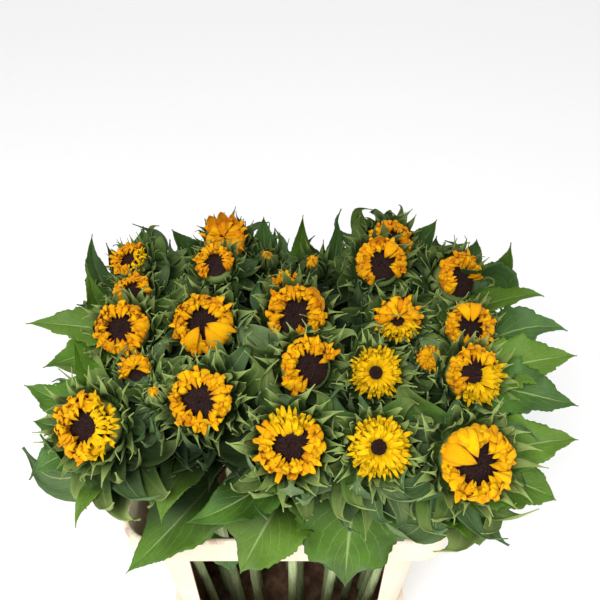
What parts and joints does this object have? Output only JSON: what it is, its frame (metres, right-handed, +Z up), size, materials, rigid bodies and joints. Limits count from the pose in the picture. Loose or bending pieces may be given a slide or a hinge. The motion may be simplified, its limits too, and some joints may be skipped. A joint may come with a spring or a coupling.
{
  "type": "bunch of sunflowers",
  "caption": "Part-open cut sunflowers with long leafy stems, standing close together in a cream windowed plastic flower container.",
  "frame": {"origin": "middle of the flat underside of the container", "axes": "+Z up; -Y towards the front of the bunch, where the picture was taken from; +X to the right of the picture"},
  "size_m": [0.626, 0.4415, 0.738],
  "materials": {
    "crate_plastic": "satin",
    "leaf_green": "matte",
    "ray_petals": "matte",
    "bract_green": "matte",
    "seed_disc": "matte"
  },
  "bodies": {
    "root": {"crate_bucket": "crate_plastic", "crate_collar": "crate_plastic", "stem_a1": "leaf_green", "flower_a1": "ray_petals", "stem_a2": "leaf_green", "flower_a2": "ray_petals", "stem_a3": "leaf_green", "flower_a3": "ray_petals", "stem_a4": "leaf_green", "flower_a4": "ray_petals", "stem_b1": "leaf_green", "flower_b1": "ray_petals", "stem_b2": "leaf_green", "flower_b2": "ray_petals", "stem_b3": "leaf_green", "flower_b3": "ray_petals", "stem_b4": "leaf_green", "flower_b4": "ray_petals", "stem_c1": "leaf_green", "flower_c1": "ray_petals", "stem_c2": "leaf_green", "flower_c2": "ray_petals", "stem_c3": "leaf_green", "flower_c3": "ray_petals", "stem_c4": "leaf_green", "flower_c4": "ray_petals", "stem_c5": "leaf_green", "flower_c5": "ray_petals", "stem_d1": "leaf_green", "flower_d1": "ray_petals", "stem_d2": "leaf_green", "flower_d2": "ray_petals", "stem_d3": "leaf_green", "flower_d3": "bract_green", "stem_e1": "leaf_green", "flower_e1": "ray_petals", "stem_e2": "leaf_green", "flower_e2": "ray_petals", "stem_e3": "leaf_green", "flower_e3": "ray_petals", "stem_e4": "leaf_green", "flower_e4": "ray_petals", "stem_f1": "leaf_green", "flower_f1": "ray_petals", "stem_f2": "leaf_green", "flower_f2": "ray_petals", "stem_f3": "leaf_green", "flower_f3": "bract_green", "stem_g1": "leaf_green", "flower_g1": "ray_petals", "stem_g2": "leaf_green", "flower_g2": "bract_green", "stem_g3": "leaf_green", "flower_g3": "ray_petals"}
  },
  "joints": []
}
